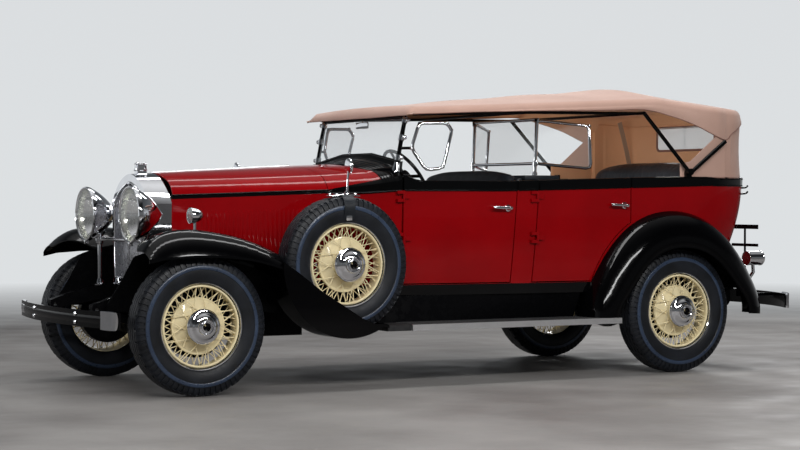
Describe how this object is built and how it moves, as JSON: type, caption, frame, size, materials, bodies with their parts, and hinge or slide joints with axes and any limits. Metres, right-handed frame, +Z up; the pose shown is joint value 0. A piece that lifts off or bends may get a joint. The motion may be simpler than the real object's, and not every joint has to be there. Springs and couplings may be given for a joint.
{
  "type": "four-door convertible touring car with folding canvas top",
  "caption": "Open four-door touring car about 1930 with canvas top, wire wheels, side-mounted spares, opening doors and folding hood sides.",
  "frame": {"origin": "on the floor under the centre of the car's overall box, midway between front and rear bumper", "axes": "+X to the rear bumper, +Y to the car's right, +Z up"},
  "size_m": [5.14, 1.916, 1.8898],
  "materials": {
    "body_paint": "deep red gloss enamel",
    "black_paint": "black gloss enamel",
    "chassis_black": "satin black chassis paint",
    "chrome": "bright chromium plate",
    "aluminium": "brushed aluminium strip",
    "grille_mesh": "fine mesh",
    "tyre": "black rubber with ribbed shoulders",
    "cream_paint": "cream gloss enamel",
    "canvas": "woven tan canvas",
    "leather": "dark smooth leather",
    "glass": "flat clear glass",
    "lamp_glass": "fluted lens glass",
    "cast_iron": "cast iron and pressed steel",
    "board_rubber": "ribbed black rubber",
    "wheel_rim_plastic": "black hard rubber rim"
  },
  "bodies": {
    "root": {"frame": "chassis_black", "engine": "cast_iron", "radiator_shell": "chrome", "radiator_core": "grille_mesh", "cowl": "body_paint", "tub": "body_paint", "floor_pan": "chassis_black", "front_fenders": "black_paint", "rear_fenders": "black_paint", "running_boards": "board_rubber", "board_trims": "aluminium", "aprons": "black_paint", "front_bumper": "chrome", "rear_bumper": "chrome", "headlamps": "chrome", "headlamp_lenses": "lamp_glass", "small_lamps": "chrome", "plate_bracket": "black_paint", "front_axle": "chassis_black", "leaf_springs": "chassis_black", "rear_axle": "chassis_black", "fuel_tank": "chassis_black", "exhaust": "cast_iron", "windshield_frame": "chrome", "tonneau_frame": "chrome", "glass_panes": "glass", "top_canvas": "canvas", "top_irons": "black_paint", "front_seat": "leather", "rear_seat": "leather", "steering_column": "black_paint", "spare_tyres": "tyre", "spare_wheels": "cream_paint", "spare_mirrors": "chrome", "hood_hinge": "chrome", "splash_aprons": "black_paint", "hood_side_left": "body_paint", "hood_side_right": "body_paint"},
    "steering_wheel": {"steering_wheel": "wheel_rim_plastic"},
    "knuckle_left": {"knuckle_left": "chassis_black"},
    "knuckle_right": {"knuckle_right": "chassis_black"},
    "tie_rod": {"tie_rod": "chassis_black"},
    "wheel_front_left": {"tyre_front_left": "tyre", "wheel_front_left": "cream_paint"},
    "wheel_front_right": {"tyre_front_right": "tyre", "wheel_front_right": "cream_paint"},
    "wheel_rear_left": {"tyre_rear_left": "tyre", "wheel_rear_left": "cream_paint"},
    "wheel_rear_right": {"tyre_rear_right": "tyre", "wheel_rear_right": "cream_paint"},
    "door_front_left": {"door_front_left": "body_paint"},
    "door_front_right": {"door_front_right": "body_paint"},
    "door_rear_left": {"door_rear_left": "body_paint"},
    "door_rear_right": {"door_rear_right": "body_paint"},
    "hood_top_left": {"hood_top_left": "body_paint"},
    "hood_top_right": {"hood_top_right": "body_paint"}
  },
  "joints": [
    {"name": "steer_left", "type": "hinge", "parent": "root", "child": "knuckle_left", "pos_m": [-1.958, -0.64, 0.405], "axis": [0, 0, 1], "range_deg": [-30, 30]},
    {"name": "steer_right", "type": "hinge", "parent": "root", "child": "knuckle_right", "pos_m": [-1.958, 0.64, 0.405], "axis": [0, 0, 1], "range_deg": [-30, 30]},
    {"name": "tie_rod_turn", "type": "hinge", "parent": "knuckle_left", "child": "tie_rod", "pos_m": [-1.808, -0.64, 0.3], "axis": [0, 0, 1], "range_deg": [-30, 30]},
    {"name": "steering_wheel_turn", "type": "hinge", "parent": "root", "child": "steering_wheel", "pos_m": [-0.356, -0.36, 1.282], "axis": [0.8192, 0, 0.5736], "range_deg": [-450, 450]},
    {"name": "spin_front_left", "type": "hinge", "parent": "knuckle_left", "child": "wheel_front_left", "pos_m": [-1.958, -0.757, 0.405], "axis": [0, 1, 0], "continuous": true},
    {"name": "spin_front_right", "type": "hinge", "parent": "knuckle_right", "child": "wheel_front_right", "pos_m": [-1.958, 0.757, 0.405], "axis": [0, 1, 0], "continuous": true},
    {"name": "spin_rear_left", "type": "hinge", "parent": "root", "child": "wheel_rear_left", "pos_m": [1.45, -0.757, 0.405], "axis": [0, 1, 0], "continuous": true},
    {"name": "spin_rear_right", "type": "hinge", "parent": "root", "child": "wheel_rear_right", "pos_m": [1.45, 0.757, 0.405], "axis": [0, 1, 0], "continuous": true},
    {"name": "door_front_left_open", "type": "hinge", "parent": "root", "child": "door_front_left", "pos_m": [-0.5245, -0.64537, 0.9], "axis": [0, 0, -1], "range_deg": [0, 70]},
    {"name": "door_rear_left_open", "type": "hinge", "parent": "root", "child": "door_rear_left", "pos_m": [0.386, -0.75704, 0.9], "axis": [0, 0, -1], "range_deg": [0, 70]},
    {"name": "door_front_right_open", "type": "hinge", "parent": "root", "child": "door_front_right", "pos_m": [-0.5245, 0.64537, 0.9], "axis": [0, 0, 1], "range_deg": [0, 70]},
    {"name": "door_rear_right_open", "type": "hinge", "parent": "root", "child": "door_rear_right", "pos_m": [0.386, 0.75704, 0.9], "axis": [0, 0, 1], "range_deg": [0, 70]},
    {"name": "hood_top_left_open", "type": "hinge", "parent": "root", "child": "hood_top_left", "pos_m": [-1.936, 0, 1.294], "axis": [-0.9985, 0, -0.0544], "range_deg": [0, 55]},
    {"name": "hood_top_right_open", "type": "hinge", "parent": "root", "child": "hood_top_right", "pos_m": [-1.936, 0, 1.294], "axis": [0.9985, 0, 0.0544], "range_deg": [0, 55]}
  ],
  "couplings": [
    {"joint": "steer_right", "follows": "steer_left", "ratio": 1},
    {"joint": "tie_rod_turn", "follows": "steer_left", "ratio": -1},
    {"joint": "steering_wheel_turn", "follows": "steer_left", "ratio": 15}
  ]
}
